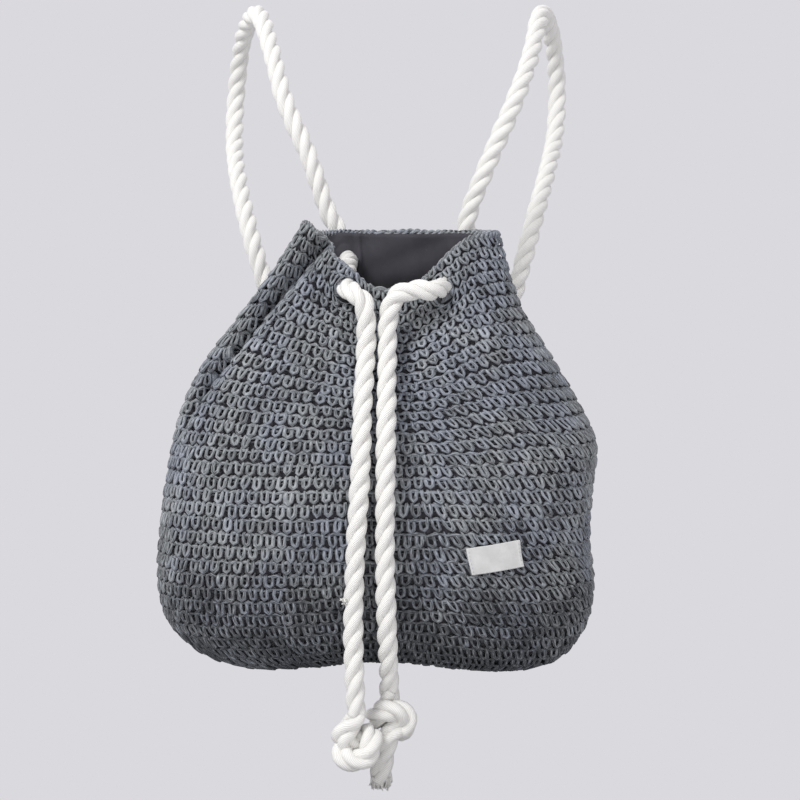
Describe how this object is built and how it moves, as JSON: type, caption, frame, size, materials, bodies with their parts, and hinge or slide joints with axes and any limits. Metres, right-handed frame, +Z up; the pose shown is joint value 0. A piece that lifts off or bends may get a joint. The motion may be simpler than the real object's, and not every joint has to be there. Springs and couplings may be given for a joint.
{
  "type": "woven straw drawstring backpack",
  "caption": "Crocheted straw drawstring backpack with a dark lining, a blank sewn label and two thick twisted cotton ropes that serve as shoulder straps and drawcords.",
  "frame": {"origin": "midway between the two places where the straps rest on the wearer's shoulders", "axes": "+Z up, the bag's front faces -Y, the wearer stands on the +Y side, +X is the right hand side seen from the front"},
  "size_m": [0.3786, 0.3662, 0.6632],
  "materials": {
    "straw": "crocheted blue grey paper straw, matt with a faint sheen",
    "lining": "charcoal plain weave cotton, matt",
    "cotton_rope": "natural white three strand cotton rope, matt and slightly fuzzy",
    "label": "blank white woven tape, satin"
  },
  "bodies": {
    "root": {"straw_bag": "straw", "lining": "lining", "label": "label", "strap_left": "cotton_rope", "strap_right": "cotton_rope", "drawcord_left": "cotton_rope", "drawcord_right": "cotton_rope", "stopper_left": "cotton_rope", "stopper_right": "cotton_rope", "knot_left": "cotton_rope", "knot_right": "cotton_rope"}
  },
  "joints": []
}
